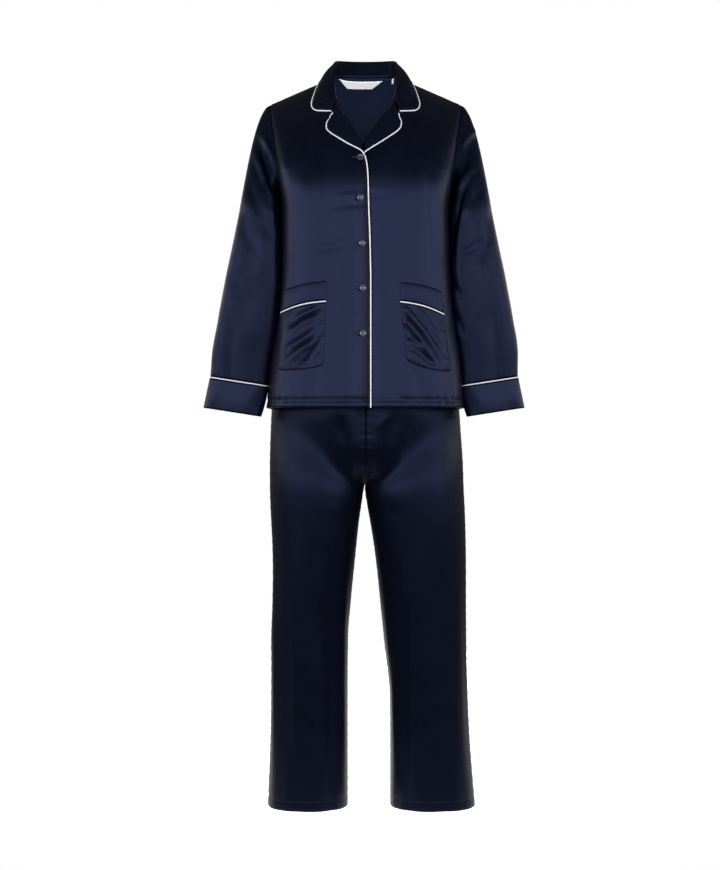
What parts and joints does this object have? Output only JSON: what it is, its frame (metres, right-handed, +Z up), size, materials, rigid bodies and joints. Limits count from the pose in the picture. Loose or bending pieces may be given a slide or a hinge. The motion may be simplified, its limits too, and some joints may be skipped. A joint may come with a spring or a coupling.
{
  "type": "pyjama set",
  "caption": "Satin pyjamas as worn, hollow: a long-sleeved, piped jacket with a revere collar, buttoned front, patch pockets and turned cuffs, over straight full-length trousers.",
  "frame": {"origin": "on the middle line at the height of the wearer's shoulders, which hold the jacket, 12 mm below the side neck points", "axes": "+Z up along the body; +X to the viewer's right, which is the wearer's left; the front faces -Y"},
  "size_m": [0.6158, 0.2689, 1.4583],
  "materials": {
    "navy_satin": "soft satin sheen",
    "white_piping": "satin-bound cord",
    "navy_button": "polished",
    "white_label": "woven, blank"
  },
  "bodies": {
    "root": {"jacket_front_right": "navy_satin", "jacket_front_left": "navy_satin", "jacket_back": "navy_satin", "sleeve_right": "navy_satin", "sleeve_left": "navy_satin", "trouser_front_right": "navy_satin", "trouser_front_left": "navy_satin", "trouser_back_right": "navy_satin", "trouser_back_left": "navy_satin", "collar": "navy_satin", "lapel_right": "navy_satin", "lapel_left": "navy_satin", "cuff_right": "navy_satin", "cuff_left": "navy_satin", "pocket_band_right": "navy_satin", "pocket_band_left": "navy_satin", "pocket_right": "navy_satin", "pocket_left": "navy_satin", "waistband": "navy_satin", "front_piping_right": "white_piping", "front_piping_left": "white_piping", "cuff_piping_right": "white_piping", "cuff_piping_left": "white_piping", "pocket_piping_right": "white_piping", "pocket_piping_left": "white_piping", "collar_piping": "white_piping", "button_1": "navy_button", "button_2": "navy_button", "button_3": "navy_button", "button_4": "navy_button", "button_5": "navy_button", "neck_label": "white_label", "size_tab": "white_label"}
  },
  "joints": []
}
